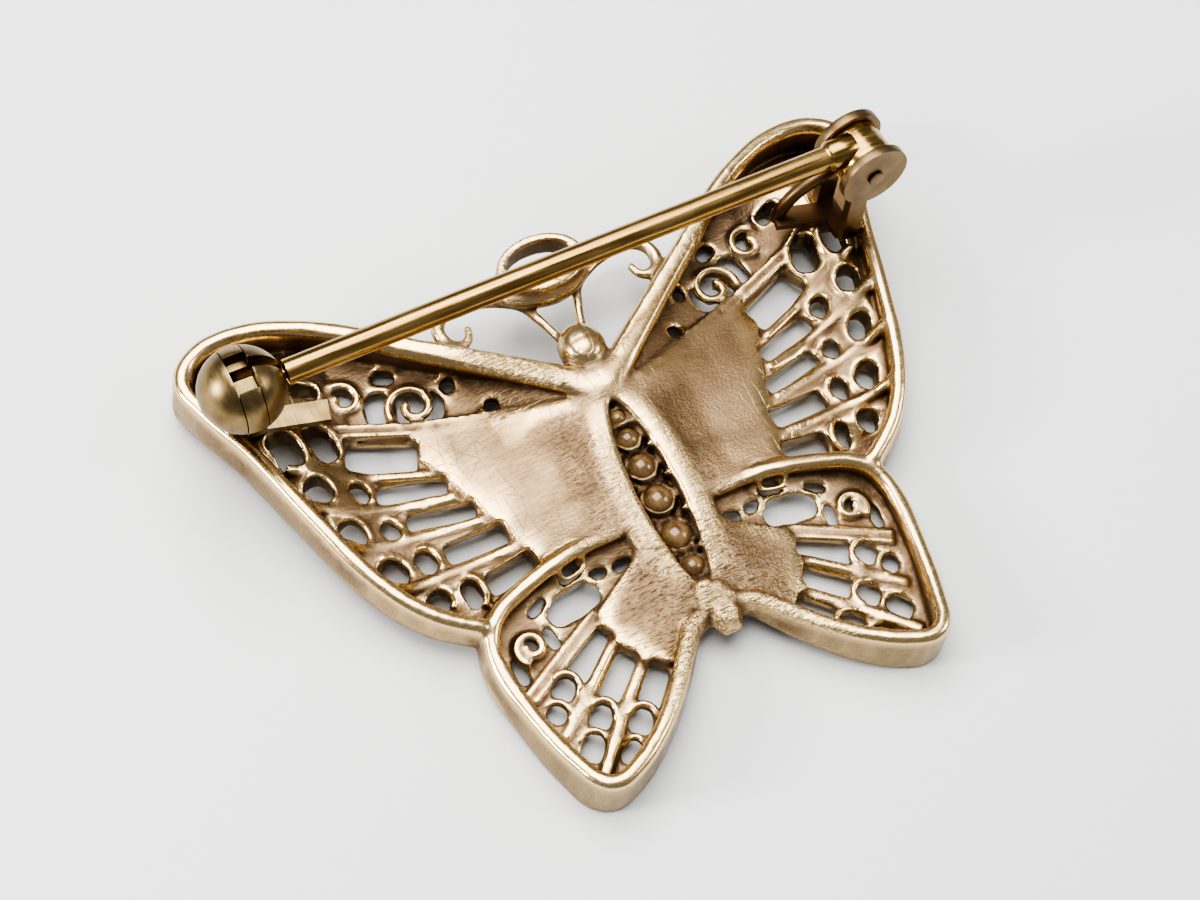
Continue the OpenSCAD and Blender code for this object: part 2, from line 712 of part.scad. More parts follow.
// The stem runs from the middle of the catch ball to a point over the pivot, and is measured from the ball
point_length = ball_d / 2 + 0.02;
stem_run = pivot_reach + catch_reach;
stem_lean = atan(stem_rise / stem_run);
stem_turn = atan((stem_shift - knuckle_shift) / stem_run);
module along_stem() {
    translate([-catch_reach, origin_shift + pin_rise, pin_height])
        rotate([0, -stem_lean, stem_turn]) children();
}

module pin_stem() {
    shoulder = stem_run - ear_d / 2 - 0.4;
    color([0.70, 0.52, 0.28])
        difference() {
            union() {
                at_pivot()
                    rotate([90, 0, 0])
                        cylinder(d = knuckle_d, h = knuckle_width, center = true, $fn = round_sides);
                along_stem()
                    rotate([0, 90, 0])
                        rotate_extrude($fn = round_sides)
                            polygon([
                                [0, -0.45],
                                [0.05, -0.45],
                                [point_d / 2, 0],
                                [point_d / 2, point_length],
                                [stem_d / 2, point_length + 0.06],
                                [stem_d / 2, shoulder],
                                [stem_d / 2 + stem_flare, shoulder + 0.3],
                                [stem_d / 2 + stem_flare, stem_run - 0.6],
                                [0, stem_run - 0.6]]);
            }
            rivet_bore();
        }
}

module at_ball() {
    translate([-catch_reach, origin_shift + pin_rise, pin_height]) rotate([-hinge_lean, 0, 0]) children();
}

module along_pin(d, h) {
    rotate([0, 90, 0]) cylinder(d = d, h = h, center = true, $fn = round_sides);
}

yoke_width = rotor_width + 2 * slot_gap + 0.8;
yoke_depth = 1.5;
module catch_ball() {
    yoke_low = rim_height + 0.3;
    post_x = -catch_reach + 0.5;
    post_y = origin_shift + pin_rise + 0.6;
    color([0.62, 0.52, 0.36])
        difference() {
            union() {
                at_ball() sphere(d = ball_d, $fn = bead_sides);
                translate([-catch_reach - yoke_width / 2, post_y - yoke_depth / 2, yoke_low])
                    cube([yoke_width, yoke_depth, pin_height - 1.2 - yoke_low]);
                translate([post_x - 0.6, post_y - yoke_depth / 2, foot_level])
                    cube([1.2, yoke_depth, yoke_low - foot_level + 0.2]);
                translate([post_x, post_y, foot_level])
                    rotate(180 - strip_turn) base_strip(strip_reach + 0.7);
            }
            at_ball() {
                along_pin(ball_d + 0.1, rotor_width + 2 * slot_gap);
                along_pin(hub_d + 2 * running_gap, rotor_width + 2 * (hub_length + slot_gap));
                translate([0, -groove / 2, 0]) cube([ball_d, groove, ball_d]);
                translate([ball_d / 2, 0, 0]) along_pin(groove, ball_d);
            }
        }
}

module catch_rotor() {
    color([0.66, 0.50, 0.30])
        at_ball()
            difference() {
                union() {
                    intersection() {
                        sphere(d = ball_d, $fn = bead_sides);
                        along_pin(ball_d + 1, rotor_width);
                    }
                    along_pin(hub_d, rotor_width + 2 * hub_length);
                }
                along_pin(groove, 2 * ball_d);
                translate([-ball_d, -groove / 2, 0]) cube([2 * ball_d, groove, ball_d]);
                translate([-rotor_width, notch_lead - notch, 0.3 * ball_d])
                    cube([2 * rotor_width, notch, ball_d]);
            }
}

wing_frame();
pearl(0);  // pearl_1
pearl(1);  // pearl_2
pearl(2);  // pearl_3
pearl(3);  // pearl_4
pearl(4);  // pearl_5
pearl(5);  // pearl_6
hinge_bracket();
hinge_rivet();
pin_stem();
catch_ball();
catch_rotor();
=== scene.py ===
import math
import random
import bpy
import bmesh
import numpy as np
from mathutils import Matrix, Vector
from mathutils.bvhtree import BVHTree
from mathutils.kdtree import KDTree


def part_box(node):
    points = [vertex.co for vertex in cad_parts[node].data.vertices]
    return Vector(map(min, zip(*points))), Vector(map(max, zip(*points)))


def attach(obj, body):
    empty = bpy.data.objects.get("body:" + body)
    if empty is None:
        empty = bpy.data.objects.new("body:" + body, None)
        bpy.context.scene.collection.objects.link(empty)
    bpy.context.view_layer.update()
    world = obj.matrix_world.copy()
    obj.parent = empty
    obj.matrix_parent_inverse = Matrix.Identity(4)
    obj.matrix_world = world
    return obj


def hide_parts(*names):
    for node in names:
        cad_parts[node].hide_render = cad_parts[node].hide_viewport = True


# Butterfly brooch lying on its front: the back of the casting, pearls, pin and ball catch.
# Scene units are metres; sizes in the dictionaries are millimetres.
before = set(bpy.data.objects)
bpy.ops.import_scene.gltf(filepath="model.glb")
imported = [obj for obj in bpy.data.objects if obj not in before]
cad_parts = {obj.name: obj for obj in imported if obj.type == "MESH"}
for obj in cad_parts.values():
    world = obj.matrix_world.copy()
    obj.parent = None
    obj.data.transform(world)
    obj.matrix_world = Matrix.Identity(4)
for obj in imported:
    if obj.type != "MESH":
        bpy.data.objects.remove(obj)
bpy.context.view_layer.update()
scene = bpy.context.scene
mm = 0.001
print("frame loaded:", len(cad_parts), "nodes")


# Camera at the photograph's angle, 60 mm lens
cameraSettings = {
    "place": (-32.15, -35.45, 94.83),
    "right": (0.88347, -0.45547, 0.10968),
    "down": (-0.36555, -0.81661, -0.44669),
    "forward": (0.29302, 0.35454, -0.88794),
    "lens": 60,
    "sensor": 36,
    "clip": (0.001, 10),
}


def makeCamera(settings):
    data = bpy.data.cameras.new("photoCamera")
    camera = bpy.data.objects.new("photoCamera", data)
    scene.collection.objects.link(camera)
    columns = [Vector(settings["right"]), -Vector(settings["down"]), -Vector(settings["forward"])]
    turn = Matrix(columns).transposed().to_4x4()
    camera.matrix_world = Matrix.Translation(Vector(settings["place"]) * mm) @ turn
    data.sensor_width = settings["sensor"]
    data.lens = settings["lens"]
    data.clip_start, data.clip_end = settings["clip"]
    scene.camera = camera
    return camera


makeCamera(cameraSettings)
print("camera made")


# Colours and nodes
def hexColour(code):
    parts = [int(code[i:i + 2], 16) / 255 for i in (1, 3, 5)]
    return tuple(p / 12.92 if p <= 0.04045 else ((p + 0.055) / 1.055) ** 2.4 for p in parts) + (1,)


# Adds a node: a socket among the values is linked, any other value is set
def addNode(tree, kind, values, output=0):
    node = tree.nodes.new(kind)
    for name, value in values.items():
        if isinstance(name, str) and name not in node.inputs:
            setattr(node, name, value)
        elif isinstance(value, bpy.types.NodeSocket):
            tree.links.new(value, node.inputs[name])
        else:
            node.inputs[name].default_value = value
    return node.outputs[output] if len(node.outputs) else None


noise = "ShaderNodeTexNoise"
stored = "ShaderNodeAttribute"
mapping = "ShaderNodeMapping"
ramp = "ShaderNodeMapRange"  # sockets: 0 value, 1 and 2 from, 3 and 4 to
maths = "ShaderNodeMath"
mix = "ShaderNodeMix"  # sockets of a colour mix: 0 factor, 6 and 7 colours, output 2
bumps = "ShaderNodeBump"


# A new material, with the piece's own place in millimetres
def newMaterial(name):
    material = bpy.data.materials.new(name)
    material.use_nodes = True
    tree = material.node_tree
    tree.nodes.clear()
    place = addNode(tree, "ShaderNodeTexCoord", {}, "Object")
    inMm = addNode(tree, mapping, {"Vector": place, "Scale": (1000, 1000, 1000)})
    return material, tree, inMm


def finishMaterial(tree, values):
    shader = addNode(tree, "ShaderNodeBsdfPrincipled", values)
    addNode(tree, "ShaderNodeOutputMaterial", {"Surface": shader})


# Gilt brass, investment cast: satin plates, polished rims with a painted highlight on them and on the
# crests, brown oxide left in the recesses, darkened further there and on the side walls by painted
# shade
giltColours = {
    "gold": ("#9C8163", "#B59A79"),
    "polished": "#E8CA98",
    "stroke": "#7F6549",
    "oxideAndShadeBrown": "#3E2D20",
}


def giltCasting():
    material, tree, inMm = newMaterial("giltCasting")
    recess, ridge, pitted, hollow, side, polish = [
        addNode(tree, stored, {"attribute_name": name}, "Fac")
        for name in ("recess", "ridge", "pitted", "hollow", "side", "polish")]
    matt = addNode(tree, maths, {"operation": "SUBTRACT", 0: 1.0, 1: polish})
    # cloudy tone of worn gilding, patches of about 3 mm
    cloud = addNode(tree, noise, {"Scale": 0.35, "Detail": 4, "Vector": inMm})
    cloudy = addNode(tree, ramp, {0: cloud, 1: 0.35, 2: 0.65})
    dull, light = [hexColour(code) for code in giltColours["gold"]]
    gold = addNode(tree, mix, {"data_type": "RGBA", 0: cloudy, 6: dull, 7: light}, 2)
    # painted highlight: crests that stand out and the rims take the pale colour; on the rims it is also
    # the real polish
    crest = addNode(tree, ramp, {0: ridge, 1: 0.05, 2: 0.6})
    polishAndHighlight = addNode(tree, maths, {"operation": "MAXIMUM", 0: crest, 1: polish})
    polished = hexColour(giltColours["polished"])
    withHighlight = addNode(tree, mix, {"data_type": "RGBA", 0: polishAndHighlight, 6: gold, 7: polished}, 2)
    # scratch-brushed strokes of 0.12 by 0.9 mm
    stroked = addNode(tree, mapping, {"Vector": inMm, "Rotation": (0, 0, 0.5), "Scale": (1.1, 8, 4)})
    strokes = addNode(tree, noise, {"Scale": 1, "Detail": 4, "Vector": stroked})
    # hairlines left by the wax
    cracked = addNode(tree, mapping, {
        "Vector": inMm, "Rotation": (0, 0, -0.4), "Scale": (1.5, 0.55, 1)})
    cells = addNode(tree, "ShaderNodeTexVoronoi", {
        "feature": "DISTANCE_TO_EDGE", "Scale": 1, "Vector": cracked}, "Distance")
    edge = addNode(tree, ramp, {0: cells, 1: 0.0, 2: 0.022, 3: 1.0, 4: 0.0})
    patchy = addNode(tree, ramp, {0: cloud, 1: 0.45, 2: 0.6})
    hairline = addNode(tree, maths, {"operation": "MULTIPLY", 0: edge, 1: patchy})
    # oxide and polishing dirt gather in the corners and along the foot of every wire, with painted
    # shade in the same places; the side walls get painted shade
    speck = addNode(tree, noise, {"Scale": 2.4, "Detail": 6, "Vector": inMm})
    closed = addNode(tree, ramp, {0: recess, 1: 0.3, 2: 0.75})
    foot = addNode(tree, maths, {"operation": "MULTIPLY", 0: hollow, 1: 0.8})
    corners = addNode(tree, maths, {"operation": "MAXIMUM", 0: closed, 1: foot})
    specked = addNode(tree, ramp, {0: speck, 1: 0.25, 2: 0.6, 3: 0.55, 4: 1.0})
    uneven = addNode(tree, maths, {"operation": "MULTIPLY", 0: corners, 1: specked})
    # painted shade on walls that face sideways or down
    wallShade = addNode(tree, maths, {"operation": "MULTIPLY", 0: side, 1: 0.72})
    oxideAndShade = addNode(tree, maths, {"operation": "MAXIMUM", 0: uneven, 1: wallShade})
    # dark fibres of 0.06 by 0.6 mm where the wax was torn: flanks of the body, hind roots, tail
    torn = addNode(tree, mapping, {"Vector": inMm, "Rotation": (0, 0, 0.35), "Scale": (1.8, 14, 6)})
    shreds = addNode(tree, noise, {"Scale": 1, "Detail": 4, "Distortion": 0.6, "Vector": torn})
    shredded = addNode(tree, ramp, {0: shreds, 1: 0.54, 2: 0.66})
    fibres = addNode(tree, maths, {"operation": "MULTIPLY", 0: shredded, 1: pitted})
    faint = addNode(tree, maths, {"operation": "MULTIPLY", 0: hairline, 1: 0.16})
    strong = addNode(tree, maths, {"operation": "MULTIPLY", 0: fibres, 1: 0.6})
    lines = addNode(tree, maths, {"operation": "MAXIMUM", 0: faint, 1: strong})
    marksAndShade = addNode(tree, maths, {"operation": "MAXIMUM", 0: oxideAndShade, 1: lines})
    brushed = addNode(tree, ramp, {0: strokes, 1: 0.3, 2: 0.7, 4: 0.25})
    grainy = addNode(tree, maths, {"operation": "MULTIPLY", 0: brushed, 1: matt})
    stroke = hexColour(giltColours["stroke"])
    toned = addNode(tree, mix, {"data_type": "RGBA", 0: grainy, 6: withHighlight, 7: stroke}, 2)
    # oxide brown, also used as painted shade in the corners, at the foot of the wires, in the slot and
    # on the side walls
    oxideAndShadeBrown = hexColour(giltColours["oxideAndShadeBrown"])
    colour = addNode(tree, mix, {"data_type": "RGBA", 0: marksAndShade, 6: toned, 7: oxideAndShadeBrown}, 2)
    # satin plates, smoother where polished, rougher under the oxide and painted shade
    satin = addNode(tree, ramp, {0: strokes, 1: 0.3, 2: 0.7, 3: 0.42, 4: 0.54})
    shine = addNode(tree, maths, {"operation": "MULTIPLY", 0: polishAndHighlight, 1: 0.24})
    smoother = addNode(tree, maths, {"operation": "SUBTRACT", 0: satin, 1: shine})
    roughUnderOxideAndShade = addNode(tree, maths, {"operation": "MULTIPLY", 0: oxideAndShade, 1: 0.12})
    rough = addNode(tree, maths, {"operation": "ADD", 0: smoother, 1: roughUnderOxideAndShade})
    # blasted grain of 0.15 mm, and casting pits of 0.3 mm at the hind roots and tail
    grain = addNode(tree, noise, {"Scale": 6.5, "Detail": 3, "Vector": inMm})
    pits = addNode(tree, noise, {"Scale": 3.0, "Detail": 4, "Roughness": 0.65, "Vector": inMm})
    shallow = addNode(tree, maths, {"operation": "MULTIPLY", 0: strokes, 1: 0.8})
    surface = addNode(tree, maths, {"operation": "ADD", 0: grain, 1: shallow})
    unpolished = addNode(tree, maths, {"operation": "SUBTRACT", 0: 1.0, 1: polishAndHighlight})
    fine = addNode(tree, maths, {"operation": "MULTIPLY", 0: surface, 1: unpolished})
    deep = addNode(tree, maths, {"operation": "MULTIPLY", 0: pitted, 1: 5.0})
    coarse = addNode(tree, maths, {"operation": "MULTIPLY", 0: pits, 1: deep})
    scored = addNode(tree, maths, {"operation": "MULTIPLY", 0: hairline, 1: 0.3})
    onPlates = addNode(tree, maths, {"operation": "MULTIPLY", 0: scored, 1: matt})
    cut = addNode(tree, maths, {"operation": "ADD", 0: onPlates, 1: fibres})
    relief = addNode(tree, maths, {"operation": "ADD", 0: fine, 1: coarse})
    height = addNode(tree, maths, {"operation": "SUBTRACT", 0: relief, 1: cut})
    bump = addNode(tree, bumps, {"Strength": 0.7, "Distance": 0.00004, "Height": height})
    finishMaterial(tree, {"Base Color": colour, "Metallic": 1, "Roughness": rough, "Normal": bump})
    return material


# Drawn and polished gilt wire: lengthwise marks of 0.2 mm stretch the highlight
wireColours = ("#9E7C4A", "#C7A56C")


def drawnWire():
    material, tree, inMm = newMaterial("drawnWire")
    along = addNode(tree, mapping, {"Vector": inMm, "Scale": (0.05, 1, 1)})
    lines = addNode(tree, noise, {"Scale": 5.0, "Detail": 4, "Vector": along})
    streaked = addNode(tree, ramp, {0: lines, 1: 0.35, 2: 0.65})
    dull, light = [hexColour(code) for code in wireColours]
    colour = addNode(tree, mix, {"data_type": "RGBA", 0: streaked, 6: dull, 7: light}, 2)
    rough = addNode(tree, ramp, {0: lines, 1: 0.3, 2: 0.7, 3: 0.17, 4: 0.3})
    bump = addNode(tree, bumps, {"Strength": 0.4, "Distance": 0.00002, "Height": lines})
    finishMaterial(tree, {"Base Color": colour, "Metallic": 1, "Roughness": rough, "Normal": bump})
    return material


# Turned gilt brass, brushed round the pin's direction in lines of 0.1 mm: a soft band of light
catchColours = ("#766344", "#97815C")


def brushedCatch():
    material, tree, inMm = newMaterial("brushedCatch")
    across = addNode(tree, mapping, {"Vector": inMm, "Scale": (9, 0.6, 0.6)})
    lines = addNode(tree, noise, {"Scale": 1.2, "Detail": 4, "Vector": across})
    cloud = addNode(tree, noise, {"Scale": 0.8, "Detail": 3, "Vector": inMm})
    cloudy = addNode(tree, ramp, {0: cloud, 1: 0.35, 2: 0.65})
    dull, light = [hexColour(code) for code in catchColours]
    colour = addNode(tree, mix, {"data_type": "RGBA", 0: cloudy, 6: dull, 7: light}, 2)
    rough = addNode(tree, ramp, {0: lines, 1: 0.3, 2: 0.7, 3: 0.29, 4: 0.41})
    bump = addNode(tree, bumps, {"Strength": 0.3, "Distance": 0.00001, "Height": lines})
    finishMaterial(tree, {"Base Color": colour, "Metallic": 1, "Roughness": rough, "Normal": bump})
    return material


# Stamped gilt brass, satin; the foot, under 6.6 mm high, turns brown towards the bottom
hingeColours = {
    "gold": ("#705C41", "#8C7657"),
    "soldered": "#5E3A22",
    "brownTo": 6.6,
    "brownFrom": 4.2,
}


def stampedHinge():
    material, tree, inMm = newMaterial("stampedHinge")
    cloud = addNode(tree, noise, {"Scale": 0.9, "Detail": 4, "Vector": inMm})
    cloudy = addNode(tree, ramp, {0: cloud, 1: 0.35, 2: 0.65})
    dull, light = [hexColour(code) for code in hingeColours["gold"]]
    gold = addNode(tree, mix, {"data_type": "RGBA", 0: cloudy, 6: dull, 7: light}, 2)
    level = addNode(tree, "ShaderNodeSeparateXYZ", {"Vector": inMm}, "Z")
    low = addNode(tree, ramp, {0: level, 1: hingeColours["brownTo"], 2: hingeColours["brownFrom"]})
    patchy = addNode(tree, ramp, {0: cloud, 1: 0.3, 2: 0.6, 3: 0.3, 4: 0.65})
    brown = addNode(tree, maths, {"operation": "MULTIPLY", 0: low, 1: patchy})
    soldered = hexColour(hingeColours["soldered"])
    colour = addNode(tree, mix, {"data_type": "RGBA", 0: brown, 6: gold, 7: soldered}, 2)
    rough = addNode(tree, ramp, {0: cloud, 1: 0.3, 2: 0.7, 3: 0.34, 4: 0.46})
    grain = addNode(tree, noise, {"Scale": 5, "Detail": 3, "Vector": inMm})
    bump = addNode(tree, bumps, {"Strength": 0.3, "Distance": 0.00002, "Height": grain})
    finishMaterial(tree, {"Base Color": colour, "Metallic": 1, "Roughness": rough, "Normal": bump})
    return material


# Small cultured pearls: brown nacre, clouded over 0.6 mm, under a clear gloss
pearlColours = ("#5C4529", "#92734B")


def brownPearl():
    material, tree, inMm = newMaterial("brownPearl")
    cloud = addNode(tree, noise, {"Scale": 1.6, "Detail": 4, "Vector": inMm})
    cloudy = addNode(tree, ramp, {0: cloud, 1: 0.3, 2: 0.7})
    dark, light = [hexColour(code) for code in pearlColours]
    colour = addNode(tree, mix, {"data_type": "RGBA", 0: cloudy, 6: dark, 7: light}, 2)
    rough = addNode(tree, ramp, {0: cloud, 1: 0.3, 2: 0.7, 3: 0.2, 4: 0.32})
    finishMaterial(tree, {
        "Base Color": colour, "Metallic": 0.15, "Roughness": rough, "Subsurface Weight": 0.25,
        "Subsurface Radius": (0.5, 0.4, 0.3), "Subsurface Scale": 0.0006,
        "Coat Weight": 0.8, "Coat Roughness": 0.05})
    return material


casting = giltCasting()
wire = drawnWire()
catchMetal = brushedCatch()
hingeMetal = stampedHinge()
nacre = brownPearl()
print("materials made")


# Copies of the CAD solids, in millimetres and merged; flatten joins faces that lie in one plane
mergeGap = 0.0004
planeAngle = 0.5


def mergedCopy(nodeName, flatten=False):
    work = bmesh.new()
    work.from_mesh(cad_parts[nodeName].data)
    bmesh.ops.scale(work, vec=(1000, 1000, 1000), verts=work.verts)
    bmesh.ops.remove_doubles(work, verts=work.verts, dist=mergeGap)
    if flatten:
        angle = math.radians(planeAngle)
        bmesh.ops.dissolve_limit(work, angle_limit=angle, verts=work.verts, edges=work.edges)
    return work


def makePiece(name, work, material, body, nodeNames):
    bmesh.ops.scale(work, vec=(mm, mm, mm), verts=work.verts)
    mesh = bpy.data.meshes.new(name)
    work.to_mesh(mesh)
    work.free()
    piece = bpy.data.objects.new(name, mesh)
    scene.collection.objects.link(piece)
    mesh.materials.append(material)
    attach(piece, body)
    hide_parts(*nodeNames)
    return piece


def evaluatedMesh(holder):
    graph = bpy.context.evaluated_depsgraph_get()
    return bpy.data.meshes.new_from_object(holder.evaluated_get(graph))


def applyModifiers(piece):
    mesh = evaluatedMesh(piece)
    piece.modifiers.clear()
    piece.data = mesh
    return mesh


# Short rays in a spiral round the normal; far hits count for less
raySettings = {
    "reach": 1.6,
    "count": 14,
    "seed": 3,
    "lowest": 0.15,
    "turn": 2.39996,
    "scatter": 0.1,
    "start": 0.02,
    "fading": 0.6,
}


# How closed in each point is: share of the rays that meet the piece again
def closedIn(mesh, rays):
    tree = BVHTree.FromPolygons([v.co for v in mesh.vertices], [p.vertices for p in mesh.polygons])
    pick = random.Random(rays["seed"])
    count, reach = rays["count"], rays["reach"]
    directions = []
    for index in range(count):
        height = rays["lowest"] + (1 - rays["lowest"]) * (index + 0.5) / count
        angle = index * rays["turn"] + pick.random() * rays["scatter"]
        side = math.sqrt(1 - height * height)
        directions.append(Vector((side * math.cos(angle), side * math.sin(angle), height)))
    values = np.zeros(len(mesh.vertices))
    for index, vertex in enumerate(mesh.vertices):
        normal = vertex.normal
        turn = normal.to_track_quat("Z", "Y")
        start = vertex.co + normal * reach * rays["start"]
        hits = 0.0
        for direction in directions:
            hit = tree.ray_cast(start, turn @ direction, reach)
            if hit[0] is not None:
                hits += 1 - rays["fading"] * hit[3] / reach
        values[index] = hits / count
    return values


def pointValues(mesh, name):
    values = np.zeros(len(mesh.vertices) * 3)
    mesh.vertices.foreach_get(name, values)
    return values.reshape(-1, 3)


# How far each point stands out of its neighbourhood, by smoothing
def standsOut(mesh, rounds):
    count = len(mesh.vertices)
    points = pointValues(mesh, "co")
    normals = pointValues(mesh, "normal")
    edges = np.zeros(len(mesh.edges) * 2, np.int64)
    mesh.edges.foreach_get("vertices", edges)
    edges = edges.reshape(-1, 2)
    both = np.concatenate([edges, edges[:, ::-1]])
    degree = np.bincount(both[:, 0], minlength=count)
    smoothed = points.copy()
    for _ in range(rounds):
        sums = np.stack([np.bincount(both[:, 0], smoothed[both[:, 1], k], count) for k in range(3)], 1)
        smoothed = 0.5 * smoothed + 0.5 * sums / degree[:, None]
    return ((points - smoothed) * normals).sum(1), points


def storeValues(mesh, name, values):
    attribute = mesh.attributes.new(name, "FLOAT", "POINT")
    attribute.data.foreach_set("value", np.clip(values, 0, 1).astype(np.float32))


# Round wires laid over the solid's strips: rims, scrolls, ribs, arches, antennae and hoop.
# Places are shares of the wing's reach and of its rise or drop, as in the CAD.
wingReach = 19.9
foreRise = 16.95
hindDrop = 12.85
rimHeight = 3.7
middleY = -2.05

rimWires = {
    "crestRadius": 0.47,
    "crestSink": 0.44,
    "flangeRadius": 0.25,
    "flangeOut": 0.43,
    "innerRadius": 0.42,
    "innerSink": 0.5,
    "innerRows": 6,
    "innerStep": 0.14,
    "neckExtra": 0.62,
    "neckSpread": 14,
    "rootGirth": (0.35, 0.75),
    "fore": [
        (0.000, 0.400, 1.00, 0.45), (0.400, 0.736, 0.98, 0.05), (0.653, 0.935, 1.00, 0.00),
        (0.844, 1.000, 1.00, 0.06), (0.955, 0.968, 1.00, 0.14), (1.000, 0.897, 1.00, 0.22),
        (0.980, 0.790, 1.00, 0.30), (0.915, 0.602, 1.00, 0.36), (0.850, 0.350, 0.99, 0.38),
        (0.769, 0.077, 0.93, 0.36), (0.678, -0.080, 0.84, 0.32), (0.570, -0.172, 0.74, 0.28)],
    "hind": [
        (0.140, -0.072, 0.72, 0.40), (0.276, -0.078, 0.75, 0.36), (0.442, -0.140, 0.73, 0.28),
        (0.543, -0.218, 0.71, 0.20), (0.581, -0.350, 0.65, 0.14), (0.560, -0.640, 0.67, 0.06),
        (0.520, -0.872, 0.78, 0.00), (0.492, -0.968, 0.85, 0.00), (0.457, -1.000, 0.86, 0.00),
        (0.405, -0.982, 0.85, 0.00), (0.312, -0.900, 0.81, 0.06), (0.211, -0.763, 0.76, 0.16),
        (0.095, -0.553, 0.66, 0.28)],
}

# Scrolls: centre, outer and inner radius as shares of the reach, start in degrees and turns.
# A scroll lies flat, at the level that this share of its points stays under
scrollWires = {
    "radius": 0.26,
    "lift": 0.1,
    "levelShare": 0.75,
    "pointsPerTurn": 12,
    "fore": [(0.620, 0.722, 0.064, 0.017, -60, 1.35), (0.460, 0.610, 0.078, 0.014, -75, 1.4)],
    "hind": [(0.474, -0.345, 0.046, 0.012, -60, 1.3)],
}

# Ribs: two ends and the wire's radius in millimetres
ribWires = {
    "rootDrop": 0.15,
    "steps": 5,
    "fore": [
        (0.518, 0.378, 0.848, 0.528, 0.32), (0.470, 0.270, 0.836, 0.374, 0.36),
        (0.442, 0.165, 0.806, 0.222, 0.32), (0.392, 0.036, 0.745, 0.040, 0.32)],
    "hind": [
        (0.288, -0.468, 0.505, -0.732, 0.33), (0.244, -0.592, 0.340, -0.730, 0.35),
        (0.340, -0.730, 0.468, -0.940, 0.38)],
}

# Arches on the inner side of the small cells: cell's place, length, width and turn
archWires = {
    "radius": 0.2,
    "outside": 0.16,
    "lift": 0.12,
    "evenness": 0.2,
    "start": 95,
    "sweep": 168,
    "points": 7,
    "fore": [
        (0.729, 0.584, 0.068, 0.112, -10), (0.824, 0.590, 0.070, 0.120, -10),
        (0.694, 0.398, 0.045, 0.062, -15), (0.793, 0.430, 0.062, 0.080, -20),
        (0.663, 0.248, 0.045, 0.062, -15), (0.758, 0.271, 0.058, 0.078, -20),
        (0.618, 0.108, 0.050, 0.072, -15), (0.706, 0.112, 0.062, 0.084, -25),
        (0.550, -0.041, 0.046, 0.074, -10), (0.638, -0.027, 0.062, 0.060, -35)],
    "hind": [
        (0.446, -0.546, 0.066, 0.058, -32), (0.492, -0.626, 0.050, 0.052, -32),
        (0.394, -0.706, 0.070, 0.056, -42), (0.450, -0.806, 0.076, 0.060, -52),
        (0.309, -0.790, 0.072, 0.060, -44), (0.369, -0.884, 0.070, 0.042, -38)],
}

# Soft lips round the openings beside the scrolls: place, length, width and turn of each opening
lipWires = {
    "radius": 0.16,
    "outside": 0.06,
    "lift": 0.03,
    "corner": 0.55,
    "points": 12,
    "below": 0.35,
    "above": 0.25,
    "fore": [
        (0.279, 0.488, 0.045, 0.060, 10), (0.352, 0.627, 0.042, 0.042, 0),
        (0.495, 0.745, 0.064, 0.042, 25), (0.452, 0.596, 0.146, 0.112, 16),
        (0.542, 0.652, 0.074, 0.104, 14), (0.708, 0.780, 0.074, 0.048, 20)],
    "hind": [
        (0.164, -0.182, 0.060, 0.034, -5), (0.232, -0.172, 0.056, 0.034, 0),
        (0.298, -0.130, 0.066, 0.034, -15), (0.322, -0.244, 0.156, 0.080, -10),
        (0.414, -0.200, 0.064, 0.034, -25), (0.416, -0.338, 0.036, 0.068, -10),
        (0.526, -0.412, 0.036, 0.080, 0)],
}

# Head, antennae and hoop; the points of the antennae are counted from the head
headForm = {
    "place": (0, 6.9, 3.1),
    "radii": (1.3, 1.46, 1.18),
    "roundness": 4,
    "antennaRadius": 0.3,
    "antennaLevel": 2.7,
    "antenna": [
        (0.4, 0.7), (0.6, 1.0), (1.6, 3.6), (2.65, 4.45), (3.9, 4.95), (5.2, 5.1), (6.15, 4.7),
        (6.45, 3.7), (5.9, 2.95), (5.15, 3.1), (4.9, 3.8)],
    "antennaGirth": (0.9, 0.85, 0.8, 1, 1.15, 1.2, 1.3, 1.3, 1.15, 0.85, 0.5),
    "hoopY": 12.15,
    "hoopRadii": (2.19, 1.35),
    "hoopPoints": 12,
    "hoopNear": 0.5,
    "hoopFar": 0.25,
    "hoopLevels": ((3.05, 0.34), (3.55, 0.32), (3.98, 0.32)),
    "crossbar": [(-3.0, 13.4), (-1.6, 12.75), (0, 12.55), (1.2, 12.7), (2.3, 13.2)],
    "crossbarLevel": 3.35,
    "crossbarRadius": 0.46,
    "crossbarGirth": (0.6, 1.15, 1.5, 1.25, 0.7),
    "neck": (0, 4.75, 3.2),
    "neckRadii": (1.6, 1.3, 0.5),
}

# Collars that hold the pearls, and the seat under them
settingForm = {
    "wire": 0.15,
    "points": 8,
    "overlap": 0.06,
    "drop": 0.42,
    "seat": (0, -2.05, 1.55),
    "seatRadii": (1.15, 5.75, 0.3),
    "rise": 6.8,
}


wireSteps = 6
wireRoundness = 3


def wireCurve(points, radius, closed=False, factors=None):
    data = bpy.data.curves.new("wire", "CURVE")
    data.dimensions = "3D"
    data.resolution_u = wireSteps
    data.bevel_depth = radius
    data.bevel_resolution = wireRoundness
    data.use_fill_caps = True
    spline = data.splines.new("BEZIER")
    spline.bezier_points.add(len(points) - 1)
    spline.use_cyclic_u = closed
    for knot, point in zip(spline.bezier_points, points):
        knot.co = point
        knot.handle_left_type = knot.handle_right_type = "AUTO"
    for knot, factor in zip(spline.bezier_points, factors or []):
        knot.radius = factor
    return data


def planPoint(row, rise):
    return Vector((row[0] * wingReach, row[1] * rise, 0))


